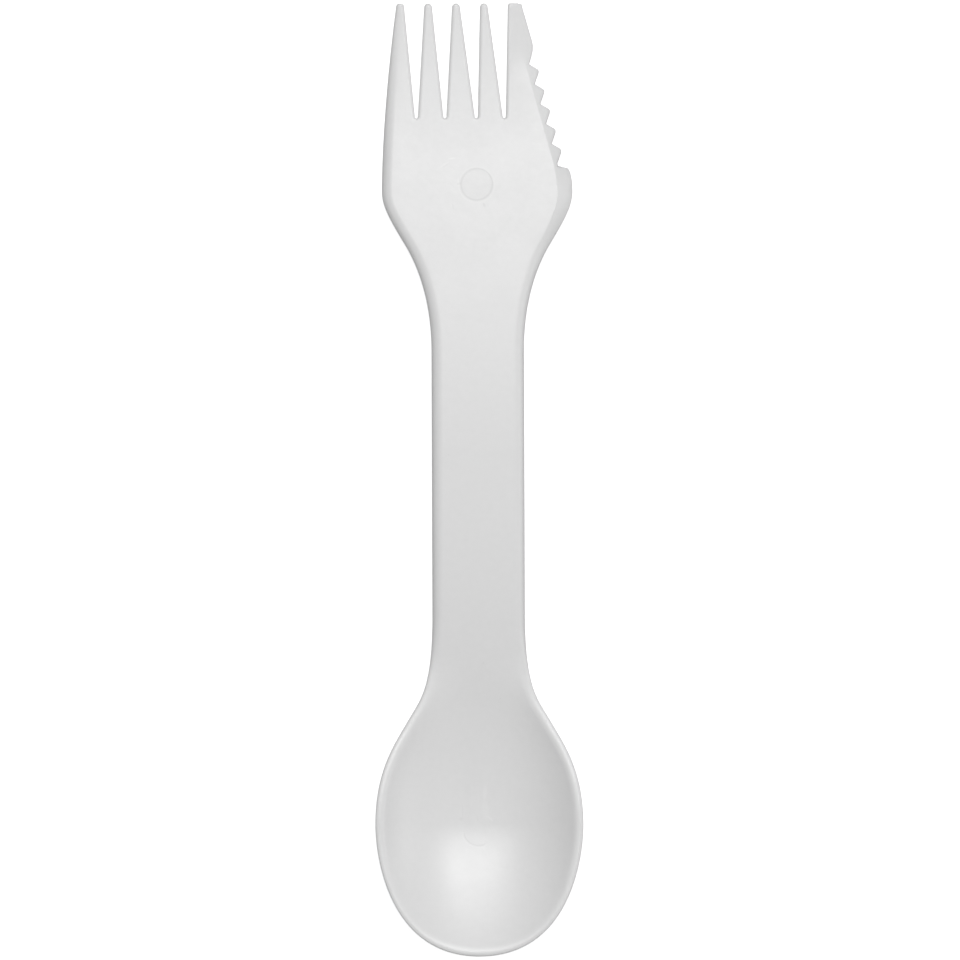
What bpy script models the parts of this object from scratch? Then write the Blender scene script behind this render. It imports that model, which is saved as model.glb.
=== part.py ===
# Three-in-one eating utensil, injection moulded in one piece: a spoon bowl at one end, and at the
# other a fork whose fifth tine is a short blade with a bevelled, toothed edge.
# It lies with both hollow faces up. The fork points to +Y and the bowl to -Y, the blade is on the
# +X side, and Z is up from the surface it lies on. The origin is under the middle of its length.

import math

import bmesh
import bpy
import numpy as np

# Overall sizes, in metres
LENGTH = 0.170
HANDLE_WIDTH = 0.0165
BOWL_WIDTH = 0.0371
HEAD_WIDTH = 0.0340

# Distances from the spoon's tip to where the outline changes
TOE_TO_BOWL = 0.0235
TOE_TO_NECK = 0.0420
TOE_TO_HANDLE = 0.0610

# Distances along the head, from its widest line at the blade's heel down to the handle
HEEL_TO_SHOULDER = 0.0095
SHOULDER_TO_HANDLE = 0.0190

# Turning points of the outline: half width and slope where it changes from hollow to full
NECK_HALF_WIDTH = 0.0127
NECK_SLOPE = math.radians(30.1)
SHOULDER_HALF_WIDTH = 0.0130
SHOULDER_SLOPE = math.radians(31.1)
TOE_ROUNDNESS = 0.85

# Fullness of the outline's curves: the reach of each pull, as a share of the curve's length along Y
TOE_PULL = 0.28
BOWL_PULL = 0.53
NECK_PULLS = (0.25, 0.23)
HANDLE_PULLS = (0.70, 0.31)
SHOULDER_PULLS = (0.37, 0.66)
HEEL_PULL = 0.25
LEFT_PULL = 0.14
LEFT_FULLNESS = (0.82, 0.51)

# Tines and the gaps between them
TINE_COUNT = 4
TINE_PITCH = 0.004965
TINE_TIP_WIDTH = 0.00130
GAP_DEPTH = 0.0205
GAP_ROOT_WIDTH = 0.0005

# Places across, counted in tine pitches from the middle: the fork's left edge and the gap roots
LEFT_TIP_PITCHES = -2.876
GAP_ROOT_PITCHES = (-2.175, -1.150, -0.018, 0.987)

# Blade: teeth cut along a straight line from the first valley to the heel
BLADE_TIP_WIDTH = 0.0026
BLADE_WIDTH = 0.0040
TIP_TO_VALLEY = 0.0109
NOSE_BEND = np.array((0.0005, 0.0043))
NOSE_TURN = np.array((0.00075, 0.0022))
NOSE_PULL = 0.0013
CURVE_POINTS = 4
HEEL_STEP = 0.00266
HEEL_LENGTH = 0.0048
HEEL_FOOT = np.array((0.06, 0.09))
HEEL_CORNER = np.array((0.64, 0.16))
HEEL_TURN = np.array((0.86, 0.20))
HEEL_SIDE = np.array((1.0, 0.55))
TOOTH_COUNT = 5
TOOTH_PITCH = 0.00369
TOOTH_DEPTH = 0.00141
TOOTH_RISE = 0.00144
TOOTH_FLAT = 0.00026
BLADE_EDGE_THICKNESS = 0.0006
BEVEL_WIDTH = 0.00205
HEEL_BEVEL_WIDTH = 0.0025
HEEL_BEVEL_LENGTH = 0.005
BEVEL_RUN_IN = (0.0074, 0.0034)
NOSE_BEVEL = 0.65
BLADE_CAP_POWER = 0.6

# Heights of the upper face along the middle, and its fall towards each end
ARCH_HEIGHT = 0.0065
ARCH_FROM_MIDDLE = 0.006
HEEL_HEIGHT = 0.0035
HEEL_FALL = math.tan(math.radians(5.6))
ROOT_HEIGHT = 0.0022
ROOT_FALL = math.tan(math.radians(4.6))
TIP_FALL = math.tan(math.radians(0.5))
NECK_RISE_START = 0.0045
NECK_HEIGHT = 0.0039
NECK_FALL = math.tan(math.radians(10.6))

# Bowl; its wall under the toe's rim is steeper by a share of the depth
BOWL_DEPTH = 0.0053
BOWL_FULLNESS = 2.8
BOWL_END_FULLNESS = 1.75
TOE_WALL = 0.12
TOE_WALL_POWER = 8
TOE_LIFT = 0.0006
HOLLOW_LENGTH = 0.0540
RIM_LAND = 0.0009
RIM_BLEND = 0.00018
REST_FLAT_DEPTH = 0.00008

# Thickness of the moulding
HANDLE_THICKNESS = 0.0026
BOWL_THICKNESS = 0.0014
RIM_THICKNESS = 0.0010
RIM_LENGTH = 0.012
GAP_ROOT_THICKNESS = 0.0018
TIP_THICKNESS = 0.0013

# Edges: a wide fillet along the upper side of the handle, a small round everywhere
FILLET_WIDTH = 0.00178
FILLET_DROP = 0.00143
FILLET_START = 0.006
TIP_TO_FILLET = 0.027
FILLET_FADE = 0.034
EDGE_ROUND = 0.00035
UNDERSIDE_ROUND = 0.00025
CAP_LENGTH = 0.0007
EDGES_ROOM = 2.2
SHARP_ANGLE = math.radians(38)

# Mesh spacing; the lines beside an edge lie at shares of its fillet's or its bevel's width
FINE_STEP = 0.0017
LONG_STEP = 0.0045
BOWL_STEP = 0.0022
LEAST_STEP = 0.0001
TOE_ROWS = 16
FILLET_LINES = np.array((0.0, 0.4, 0.7, 1.07))
BEVEL_LINES = np.array((0.0, 0.8, 1.0, 1.25))
INNER_LINES = 3 * TINE_COUNT - 1
SHEET_THICKNESS = 0.002
CLOSE = 1e-7

TIP_Y = LENGTH / 2
TOE_Y = -LENGTH / 2
HANDLE_END_Y = TOE_Y + TOE_TO_HANDLE
NECK_Y = TOE_Y + TOE_TO_NECK
BOWL_Y = TOE_Y + TOE_TO_BOWL
GAP_ROOT_Y = TIP_Y - GAP_DEPTH
CAP_Y = TIP_Y - CAP_LENGTH
GAP_TIP_WIDTH = TINE_PITCH - TINE_TIP_WIDTH


def bezier(start, start_pull, end_pull, end, count=80):
    """Points of a cubic curve from start to end, with its two pull points."""
    t = np.linspace(0, 1, count)[:, None]
    weights = np.hstack([(1 - t) ** 3, 3 * t * (1 - t) ** 2, 3 * t * t * (1 - t), t ** 3])
    return weights @ np.array([start, start_pull, end_pull, end])


def eased(value, start, end):
    """0 at start and 1 at end, level at both."""
    t = min(max((value - start) / (end - start), 0.0), 1.0)
    return t * t * (3 - 2 * t)


def through(y, stations):
    """Height at y of the smooth curve through stations of place, height and slope."""
    y = min(max(y, stations[0][0]), stations[-1][0])
    for (y0, z0, slope0), (y1, z1, slope1) in zip(stations, stations[1:]):
        if y <= y1:
            break
    span = y1 - y0
    t = (y - y0) / span
    return ((1 + 2 * t) * (1 - t) ** 2 * z0 + t * (1 - t) ** 2 * span * slope0
            + t * t * (3 - 2 * t) * z1 - t * t * (1 - t) * span * slope1)


def spread(start, end, step):
    """Evenly spaced values from start up to but not including end, about a step apart."""
    count = max(1, round(abs(end - start) / step))
    return [start + (end - start) * k / count for k in range(count)]


# Gaps, and the line of the blade beside the last one

def gap_centre(index, y):
    """Middle of a gap at y: the gaps fan out from their roots to an even pitch at the tips."""
    root = GAP_ROOT_PITCHES[index] * TINE_PITCH
    first_tip = LEFT_TIP_PITCHES * TINE_PITCH + TINE_TIP_WIDTH + GAP_TIP_WIDTH / 2
    return root + (first_tip + index * TINE_PITCH - root) * (y - GAP_ROOT_Y) / GAP_DEPTH


def gap_width(y):
    """Width of a gap at y: a straight wedge, open at the tips."""
    share = max((y - GAP_ROOT_Y) / GAP_DEPTH, 0.0)
    return GAP_ROOT_WIDTH + (GAP_TIP_WIDTH - GAP_ROOT_WIDTH) * share


def blade_inner_edge(y):
    """Edge of the blade tine on its gap's side."""
    return gap_centre(TINE_COUNT - 1, y) + gap_width(y) / 2


VALLEY_Y = TIP_Y - TIP_TO_VALLEY
VALLEY = np.array((blade_inner_edge(VALLEY_Y) + BLADE_WIDTH, VALLEY_Y))
BLADE_ANGLE = math.asin((HEAD_WIDTH / 2 - HEEL_STEP - VALLEY[0]) / (TOOTH_COUNT * TOOTH_PITCH))
BLADE_WAY = np.array((math.sin(BLADE_ANGLE), -math.cos(BLADE_ANGLE)))
BLADE_OUT = np.array((math.cos(BLADE_ANGLE), math.sin(BLADE_ANGLE)))
LAST_VALLEY = VALLEY + TOOTH_COUNT * TOOTH_PITCH * BLADE_WAY
HEEL_Y = float(LAST_VALLEY[1]) - HEEL_LENGTH
SHOULDER_Y = HEEL_Y - HEEL_TO_SHOULDER
HANDLE_TOP_Y = SHOULDER_Y - SHOULDER_TO_HANDLE


# Outline seen from above

def toe_curve():
    """Right half of the spoon's tip, from the bowl's widest line to the tip."""
    half = BOWL_WIDTH / 2
    fall = TOE_PULL * TOE_TO_BOWL
    return bezier((half, BOWL_Y), (half, BOWL_Y - fall), (TOE_ROUNDNESS * half, TOE_Y), (0, TOE_Y))


def side_curve():
    """Half width from the bowl's widest line to the head's, as points of half width and y."""
    neck = np.array((NECK_HALF_WIDTH, NECK_Y))
    neck_way = np.array((-math.sin(NECK_SLOPE), math.cos(NECK_SLOPE)))
    shoulder = np.array((SHOULDER_HALF_WIDTH, SHOULDER_Y))
    shoulder_way = np.array((math.sin(SHOULDER_SLOPE), math.cos(SHOULDER_SLOPE)))
    bowl = np.array((BOWL_WIDTH / 2, BOWL_Y))
    handle_end = np.array((HANDLE_WIDTH / 2, HANDLE_END_Y))
    handle_top = np.array((HANDLE_WIDTH / 2, HANDLE_TOP_Y))
    heel = np.array((HEAD_WIDTH / 2, HEEL_Y))
    up = np.array((0.0, 1.0))
    bowl_run = NECK_Y - BOWL_Y
    neck_run = HANDLE_END_Y - NECK_Y
    shoulder_run = SHOULDER_Y - HANDLE_TOP_Y
    heel_run = HEEL_Y - SHOULDER_Y
    curves = (
        bezier(bowl, bowl + BOWL_PULL * bowl_run * up,
               neck - NECK_PULLS[0] * bowl_run * neck_way, neck),
        bezier(neck, neck + NECK_PULLS[1] * neck_run * neck_way,
               handle_end - HANDLE_PULLS[0] * neck_run * up, handle_end),
        bezier(handle_top, handle_top + HANDLE_PULLS[1] * shoulder_run * up,
               shoulder - SHOULDER_PULLS[0] * shoulder_run * shoulder_way, shoulder),
        bezier(shoulder, shoulder + SHOULDER_PULLS[1] * heel_run * shoulder_way,
               heel - HEEL_PULL * heel_run * up, heel),
    )
    return np.vstack(curves)


def left_curve():
    """Outer edge of the first tine, from the head's widest line to its tip."""
    run = TIP_Y - HEEL_Y
    corner = -HEAD_WIDTH / 2
    tip = LEFT_TIP_PITCHES * TINE_PITCH
    across, along = LEFT_FULLNESS
    return bezier((corner, HEEL_Y), (corner, HEEL_Y + LEFT_PULL * run),
                  (tip + across * (corner - tip), HEEL_Y + along * run), (tip, TIP_Y))


TOE = toe_curve()
SIDE = side_curve()
LEFT = left_curve()


def half_width(y):
    """Half width of the handle, neck, shoulders and upper bowl at y."""
    return float(np.interp(y, SIDE[:, 1], SIDE[:, 0]))


def left_edge(y):
    """Place of the left edge at y, anywhere above the bowl's widest line."""
    if y <= HEEL_Y:
        return -half_width(y)
    return float(np.interp(y, LEFT[:, 1], LEFT[:, 0]))


def toe_radius(angle):
    """Distance from the bowl's middle to its edge, at an angle below the widest line."""
    angles = np.arctan2(BOWL_Y - TOE[:, 1], TOE[:, 0])
    return float(np.interp(angle, angles, np.hypot(TOE[:, 0], TOE[:, 1] - BOWL_Y)))


def nose_top():
    """Outer corner of the blade's blunt tip, level with where its cap begins."""
    return np.array((blade_inner_edge(CAP_Y) + BLADE_TIP_WIDTH, CAP_Y))


def nose_curve():
    """Edge from the blade's tip down to the first valley, round where it turns in."""
    bend = VALLEY + NOSE_BEND
    way = (bend - nose_top()) / np.linalg.norm(bend - nose_top())
    return bezier(bend, bend + NOSE_PULL * way, VALLEY + NOSE_TURN, VALLEY, CURVE_POINTS)


def valley(index):
    """Bottom of the notch before tooth number index."""
    return VALLEY + index * TOOTH_PITCH * BLADE_WAY


def tooth(index):
    """Valley, then the two corners of the narrow flat on the tooth's tip."""
    start = valley(index)
    front = start + TOOTH_RISE * BLADE_WAY + TOOTH_DEPTH * BLADE_OUT
    return [start, front, front + TOOTH_FLAT * BLADE_WAY]


def heel_curve():
    """Edge from the last valley out to the corner of the heel, and round to the widest line."""
    size = np.array((HEEL_STEP, -HEEL_LENGTH))
    foot, corner, turn, side = (LAST_VALLEY + share * size
                                for share in (HEEL_FOOT, HEEL_CORNER, HEEL_TURN, HEEL_SIDE))
    return [LAST_VALLEY, foot] + list(bezier(corner, turn, side, LAST_VALLEY + size, CURVE_POINTS))


NOSE = list(nose_curve())
TEETH = [point for index in range(TOOTH_COUNT) for point in tooth(index)]
HEEL = heel_curve()
BLADE = np.array([nose_top()] + NOSE[:-1] + TEETH + HEEL)


def tooth_line(y):
    """Smooth outer line of the blade, along the tips of its teeth."""
    tips = valley(0) + TOOTH_DEPTH * BLADE_OUT
    on_line = tips[0] - (y - tips[1]) * math.tan(BLADE_ANGLE)
    return min(on_line, HEAD_WIDTH / 2)


def right_line(y):
    """Right edge without its teeth, anywhere above the bowl's widest line."""
    return half_width(y) if y <= HEEL_Y else tooth_line(y)


def right_edge(y):
    """Right edge at y, with its teeth."""
    if y <= HEEL_Y:
        return half_width(y)
    return float(np.interp(-y, -BLADE[:, 1], BLADE[:, 0]))


def across(edge, y):
    """Cosine of an edge's slope, which turns a width across into a distance from the edge."""
    reach = 0.0002
    slope = (edge(y + reach) - edge(y - reach)) / (2 * reach)
    return 1 / math.hypot(1, slope)


# Heights of the two faces

def middle_stations():
    """The upper face along the middle, from the bottom of the bowl to the fork's tips."""
    return (
        (BOWL_Y, BOWL_THICKNESS, 0.0),
        (NECK_Y + NECK_RISE_START, NECK_HEIGHT, NECK_FALL),
        (ARCH_FROM_MIDDLE, ARCH_HEIGHT, 0.0),
        (HEEL_Y, HEEL_HEIGHT, -HEEL_FALL),
        (GAP_ROOT_Y, ROOT_HEIGHT, -ROOT_FALL),
        (TIP_Y, TIP_THICKNESS, -TIP_FALL),
    )


MIDDLE = middle_stations()
HOLLOW_END_Y = TOE_Y + HOLLOW_LENGTH
HOLLOW_END_HEIGHT = through(HOLLOW_END_Y, MIDDLE)
HOLLOW_END_SLOPE = (through(HOLLOW_END_Y + 1e-4, MIDDLE) - HOLLOW_END_HEIGHT) / 1e-4
RIM = (
    (TOE_Y, BOWL_THICKNESS + BOWL_DEPTH + TOE_LIFT, -2 * TOE_LIFT / TOE_TO_BOWL),
    (BOWL_Y, BOWL_THICKNESS + BOWL_DEPTH, 0.0),
    (HOLLOW_END_Y, HOLLOW_END_HEIGHT, HOLLOW_END_SLOPE),
)


def rim_height(y):
    """Height of the bowl's rim, which runs into the upper face at the neck."""
    return through(y, RIM) if y < HOLLOW_END_Y else through(y, MIDDLE)


def hollow_depth(y):
    """Depth of the bowl below its rim, along the middle."""
    return rim_height(max(y, BOWL_Y)) - through(max(y, BOWL_Y), MIDDLE)


def bowl_share(x, y, land):
    """How far a point is from the bowl's middle line, as a share of the way to its rim."""
    if y >= BOWL_Y:
        return abs(x) / (half_width(y) - land / across(half_width, y)), 0.0
    angle = math.atan2(BOWL_Y - y, abs(x))
    turn = eased(angle, 0, math.pi / 2)
    step = 0.01
    change = (toe_radius(angle + step) - toe_radius(angle - step)) / (2 * step)
    tilt = math.hypot(1, change / toe_radius(angle))
    return math.hypot(x, y - BOWL_Y) / (toe_radius(angle) - land * tilt), turn


def dished(x, y, depth, land):
    """Depth at a point of a bowl of the given middle depth, with a smooth shoulder at its rim."""
    if depth <= 0:
        return 0.0
    share, turn = bowl_share(x, y, land)
    share = min(share, 1.0)
    rise = share ** (BOWL_FULLNESS + (BOWL_END_FULLNESS - BOWL_FULLNESS) * turn)
    rise += TOE_WALL * turn * (share ** TOE_WALL_POWER - rise)
    drop = depth * (1 - rise)
    softened = math.hypot(drop, RIM_BLEND) - RIM_BLEND
    return softened * depth / (math.hypot(depth, RIM_BLEND) - RIM_BLEND)


def thickness(y):
    """Thickness of the moulding along the middle."""
    if y < HEEL_Y:
        return BOWL_THICKNESS + (HANDLE_THICKNESS - BOWL_THICKNESS) * eased(y, NECK_Y, HANDLE_END_Y)
    if y < GAP_ROOT_Y:
        return HANDLE_THICKNESS + (GAP_ROOT_THICKNESS - HANDLE_THICKNESS) * eased(y, HEEL_Y, GAP_ROOT_Y)
    share = (y - GAP_ROOT_Y) / GAP_DEPTH
    return GAP_ROOT_THICKNESS + (TIP_THICKNESS - GAP_ROOT_THICKNESS) * share


def side_thickness(y):
    """Thickness of the moulding at its edge, before the fillet: thinner round the bowl."""
    rise = eased(y, BOWL_Y + RIM_LENGTH, HANDLE_END_Y)
    return min(thickness(y), RIM_THICKNESS + (HANDLE_THICKNESS - RIM_THICKNESS) * rise)


def rounded(distance, width, drop, flat):
    """Drop of an edge at a distance from it: a quarter round at flat 0, a plane bevel at 1."""
    reach = 1 - min(max(distance / width, 0.0), 1.0)
    return drop * ((1 - flat) * (1 - math.sqrt(1 - reach * reach)) + flat * reach)


def left_drop(x, y):
    """Drop of the upper face beside the left edge."""
    if y < BOWL_Y:
        return 0.0
    drop = FILLET_DROP * eased(y, NECK_Y + FILLET_START, HANDLE_END_Y)
    drop *= 1 - min(max((y - TIP_Y + TIP_TO_FILLET) / FILLET_FADE, 0.0), 1.0)
    return rounded((x - left_edge(y)) * across(left_edge, y), FILLET_WIDTH, drop, 0.0)


def bevelled(y):
    """How far the fillet of the right edge has turned into the blade's bevel."""
    return eased(y, SHOULDER_Y - BEVEL_RUN_IN[0], HEEL_Y - BEVEL_RUN_IN[1])


def right_width(y):
    """Width of the sloping strip beside the right edge."""
    narrowing = (BEVEL_WIDTH - HEEL_BEVEL_WIDTH) * eased(y, HEEL_Y, HEEL_Y + HEEL_BEVEL_LENGTH)
    return FILLET_WIDTH + (HEEL_BEVEL_WIDTH + narrowing - FILLET_WIDTH) * bevelled(y)


def right_drop(x, y):
    """Drop beside the right edge: the handle's fillet, which turns into the blade's bevel."""
    if y < BOWL_Y:
        return 0.0
    drop = FILLET_DROP * eased(y, NECK_Y + FILLET_START, HANDLE_END_Y)
    drop += (thickness(y) - BLADE_EDGE_THICKNESS - drop) * bevelled(y)
    drop *= 1 - (1 - NOSE_BEVEL) * eased(y, VALLEY_Y, TIP_Y)
    return rounded((right_line(y) - x) * across(right_line, y), right_width(y), drop, bevelled(y))


def upper_face(x, y):
    """Height of the upper face."""
    return rim_height(y) - dished(x, y, hollow_depth(y), RIM_LAND) - left_drop(x, y) - right_drop(x, y)


def lower_face(x, y):
    """Height of the underside, with a small flat under the bowl to rest on."""
    edge = side_thickness(y)
    depth = hollow_depth(y) + thickness(max(y, BOWL_Y)) - edge
    height = rim_height(y) - edge - dished(x, y, depth + REST_FLAT_DEPTH, 0.0)
    return max(height, 0.0)


# Flat sheet: rows across, lines along, and the gaps left open

def left_lines(y):
    """Places of the lines beside the left edge."""
    return left_edge(y) + FILLET_LINES * FILLET_WIDTH / across(left_edge, y)


def right_lines(y):
    """Places of the lines beside the right edge, from the inside out; the last has the teeth."""
    shares = FILLET_LINES + (BEVEL_LINES - FILLET_LINES) * bevelled(y)
    places = right_line(y) - shares * right_width(y) / across(right_line, y)
    places[0] = right_edge(y)
    return places[::-1]


def fork_lines(y):
    """Places of the lines across the fork at y: five tines, and the two sides of each gap."""
    gaps = []
    for index in range(TINE_COUNT):
        centre = gap_centre(index, y)
        gaps.append((centre - gap_width(y) / 2, centre + gap_width(y) / 2))
    left = left_lines(y)
    tine = (gaps[0][0] - left[0]) / len(left)
    places = [min(place, left[0] + tine * line) for line, place in enumerate(left)]
    for before, after in zip(gaps, gaps[1:]):
        places += [before[0], before[1], (before[1] + after[0]) / 2]
    places += gaps[-1]
    inner, right = gaps[-1][1], right_lines(y)
    return places + [max(right[0], (inner + right[1]) / 2)] + list(right[1:])


def plain_lines(y):
    """Places of the lines across at y with no gaps: close to the edges, even between them."""
    left, right = left_lines(y), right_lines(y)
    inside = np.linspace(left[-1], right[0], INNER_LINES + 2)[1:-1]
    return np.concatenate((left, inside, right))


def head_lines(y):
    """Lines of the head below the gaps, which ease from the fork's into even ones."""
    places = plain_lines(y)
    inner = slice(len(FILLET_LINES) - 1, 1 - len(BEVEL_LINES))
    root = np.array(fork_lines(GAP_ROOT_Y))[inner]
    even = places[inner]
    fork = even[0] + (root - root[0]) * (even[-1] - even[0]) / (root[-1] - root[0])
    places[inner] = fork + (even - fork) * eased(y, GAP_ROOT_Y, HANDLE_TOP_Y)
    return places


def row_places():
    """The y of each row from where the tines' caps begin down to the bowl's widest line."""
    bend_rows = [float(point[1]) for point in NOSE]
    rows = spread(CAP_Y, bend_rows[0], FINE_STEP) + bend_rows
    rows += [float(valley(index)[1]) for index in range(1, TOOTH_COUNT + 1)]
    rows += [float(point[1]) for point in HEEL[2:-1]]
    rows += [GAP_ROOT_Y + GAP_ROOT_WIDTH / 2, GAP_ROOT_Y]
    rows += spread(HEEL_Y, HANDLE_TOP_Y, FINE_STEP)
    rows += spread(HANDLE_TOP_Y, HANDLE_END_Y, LONG_STEP) + [ARCH_FROM_MIDDLE]
    rows += spread(HANDLE_END_Y, BOWL_Y, BOWL_STEP)
    kept = []
    for y in sorted(rows, reverse=True):
        if not kept or y in (GAP_ROOT_Y, HEEL_Y) or kept[-1] - y > LEAST_STEP:
            kept.append(y)
    return kept + [BOWL_Y]


def tine_spans():
    """First and last line of each tine, counted across the sheet."""
    spans = [(0, 4)]
    for index in range(TINE_COUNT - 1):
        spans.append((3 * index + 5, 3 * index + 7))
    return spans + [(3 * TINE_COUNT + 2, 3 * TINE_COUNT + 6)]


def cap_row(level):
    """A row of the tines' rounded caps: level 0 at their straight sides, 1 over their tops."""
    base = fork_lines(CAP_Y)
    base[-1] = nose_top()[0]
    places = [(x, CAP_Y) for x in base]
    for first, last in tine_spans():
        middle = (base[first] + base[last]) / 2
        half = (base[last] - base[first]) / 2
        power = 1.0 if half < TINE_TIP_WIDTH else BLADE_CAP_POWER
        corner = level * math.pi / 4
        for line in range(first, last + 1):
            share = (base[line] - middle) / half
            turn = math.pi / 2 - share * (math.pi / 2 - corner)
            x = middle + half * math.copysign(abs(math.cos(turn)) ** power, share)
            side = math.sin(corner) ** power
            top = math.sin(turn) ** power
            y = CAP_Y + CAP_LENGTH * (side + (top - side) * level)
            places[line] = (x, y)
    return places


def is_gap(row_y, line):
    """Whether the cell to the right of a line, under a row, belongs to a gap."""
    return row_y > GAP_ROOT_Y + CLOSE and 4 <= line < 3 * TINE_COUNT + 2 and line % 3 == 1


def sheet(bm):
    """Flat sheet with the outline and the gaps of the part, in the plane z = 0."""
    rows = []
    for level in (1.0, 0.5):
        rows.append((TIP_Y, [bm.verts.new((x, y, 0)) for x, y in cap_row(level)]))
    for y in row_places():
        if y >= GAP_ROOT_Y:
            places = fork_lines(y)
        elif y > HANDLE_TOP_Y:
            places = head_lines(y)
        else:
            places = plain_lines(y)
        if y == CAP_Y:
            places[-1] = float(nose_top()[0])
        rows.append((y, [bm.verts.new((x, y, 0)) for x in places]))
    add_toe_rows(bm, rows)
    notches = [point for point in BLADE if all(abs(point[1] - y) > CLOSE for y, _ in rows)]
    for (y, upper), (next_y, lower) in zip(rows, rows[1:]):
        for line in range(len(upper) - 1):
            if is_gap(y, line):
                continue
            corners = [upper[line], lower[line], lower[line + 1]]
            if line == len(upper) - 2:
                between = [p for p in notches if next_y < p[1] < y]
                corners += [bm.verts.new((p[0], p[1], 0)) for p in reversed(between)]
            corners.append(upper[line + 1])
            distinct = list(dict.fromkeys(corners))
            if len(distinct) > 2:
                bm.faces.new(distinct)


def add_toe_rows(bm, rows):
    """Rows that swing about the bowl's middle, from its widest line to its tip."""
    first = rows[-1][1]
    middle = len(first) // 2
    for step in range(1, TOE_ROWS + 1):
        angle = step / TOE_ROWS * math.pi / 2
        radius = toe_radius(angle)
        verts = list(first)
        for line, start in enumerate(first):
            if line == middle:
                continue
            if step == TOE_ROWS and line < middle:
                continue
            inset = (BOWL_WIDTH / 2 - abs(start.co.x)) / (BOWL_WIDTH / 2)
            reach = radius * (1 - inset)
            x = math.copysign(reach * math.cos(angle), start.co.x)
            verts[line] = bm.verts.new((x, BOWL_Y - reach * math.sin(angle), 0))
        if step == TOE_ROWS:
            verts[:middle] = verts[:middle:-1]
        rows.append((BOWL_Y, verts))


def on_teeth(vert):
    """Whether a border vertex lies on the teeth, whose edges stay sharp."""
    reach = 1.1 * TOOTH_DEPTH / math.cos(BLADE_ANGLE)
    beside = vert.co.x > tooth_line(vert.co.y) - reach
    return beside and HEEL[2][1] - CLOSE < vert.co.y < VALLEY[1] + CLOSE


def rounded_border(bm, height, width, segments):
    """Rounds the border of the upper or lower face of the flat plate, but not the teeth."""
    border = []
    for edge in bm.edges:
        level = all(abs(vert.co.z - height) < CLOSE for vert in edge.verts)
        side = any(abs(face.normal.z) < 0.5 for face in edge.link_faces)
        if level and side and not all(on_teeth(vert) for vert in edge.verts):
            border.append(edge)
    bmesh.ops.bevel(bm, geom=border, offset=width, segments=segments, profile=0.5,
                    affect='EDGES', clamp_overlap=False)


def formed(bm):
    """Bends the flat plate to shape: each half takes the height of its own face."""
    for vert in bm.verts:
        x, y, z = vert.co
        up = upper_face(x, y)
        low = lower_face(x, y)
        room = min(1.0, (up - low) / (EDGES_ROOM * EDGE_ROUND))
        if z > -SHEET_THICKNESS / 2:
            vert.co.z = up + z * room
        else:
            vert.co.z = low + (z + SHEET_THICKNESS) * room


def utensil():
    """The whole moulding as one closed body."""
    bm = bmesh.new()
    sheet(bm)
    pushed = bmesh.ops.extrude_face_region(bm, geom=bm.faces[:])
    new_verts = [item for item in pushed["geom"] if isinstance(item, bmesh.types.BMVert)]
    bmesh.ops.translate(bm, verts=new_verts, vec=(0, 0, -SHEET_THICKNESS))
    bmesh.ops.recalc_face_normals(bm, faces=bm.faces[:])
    rounded_border(bm, 0.0, EDGE_ROUND, 2)
    rounded_border(bm, -SHEET_THICKNESS, UNDERSIDE_ROUND, 1)
    formed(bm)
    bmesh.ops.triangulate(bm, faces=bm.faces[:])
    bmesh.ops.recalc_face_normals(bm, faces=bm.faces[:])
    mesh = bpy.data.meshes.new("spoon_fork_knife")
    bm.to_mesh(mesh)
    bm.free()
    mesh.shade_smooth()
    mesh.set_sharp_from_angle(angle=SHARP_ANGLE)
    return mesh


def white_plastic():
    """Neutral white polypropylene with a satin surface."""
    material = bpy.data.materials.new("white_plastic")
    material.use_nodes = True
    shader = material.node_tree.nodes["Principled BSDF"]
    shader.inputs["Base Color"].default_value = (0.73, 0.73, 0.73, 1)
    shader.inputs["Roughness"].default_value = 0.38
    shader.inputs["Metallic"].default_value = 0.0
    return material


for old in list(bpy.data.objects):
    bpy.data.objects.remove(old, do_unlink=True)

body = bpy.data.objects.new("spoon_fork_knife", utensil())
body.data.materials.append(white_plastic())
bpy.context.scene.collection.objects.link(body)
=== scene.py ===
# A white plastic picnic utensil lying face up on a pale ground, seen from straight above: a spoon
# bowl at the near end, a flat handle, and a fork at the far end whose last tine is a toothed blade.
# Metres, +Z up, +Y towards the fork's tips, +X on the blade's side.

import math

import bpy
import numpy as np
from mathutils.bvhtree import BVHTree
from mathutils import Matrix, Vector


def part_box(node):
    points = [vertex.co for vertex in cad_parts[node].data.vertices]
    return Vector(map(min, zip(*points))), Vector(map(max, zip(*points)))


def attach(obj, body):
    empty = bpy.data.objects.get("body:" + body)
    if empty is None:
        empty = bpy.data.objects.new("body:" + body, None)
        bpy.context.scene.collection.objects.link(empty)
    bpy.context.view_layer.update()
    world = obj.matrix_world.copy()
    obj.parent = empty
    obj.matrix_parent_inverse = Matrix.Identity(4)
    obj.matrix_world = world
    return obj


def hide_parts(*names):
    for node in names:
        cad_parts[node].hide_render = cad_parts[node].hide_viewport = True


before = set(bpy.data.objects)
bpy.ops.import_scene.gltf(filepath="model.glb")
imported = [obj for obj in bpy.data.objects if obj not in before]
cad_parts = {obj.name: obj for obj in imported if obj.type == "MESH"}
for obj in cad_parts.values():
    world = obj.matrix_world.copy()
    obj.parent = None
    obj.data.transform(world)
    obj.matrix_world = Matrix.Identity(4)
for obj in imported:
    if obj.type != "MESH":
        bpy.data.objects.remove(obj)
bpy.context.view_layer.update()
low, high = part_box("spoon_fork_knife")


# Outline of the moulding, as the mould maker draws it on the parting plane. The utensil is one
# shot of white polypropylene, so its whole outline is one closed line: round the bowl, up the
# handle and the shoulders, and round each tine, gap and tooth.

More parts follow.
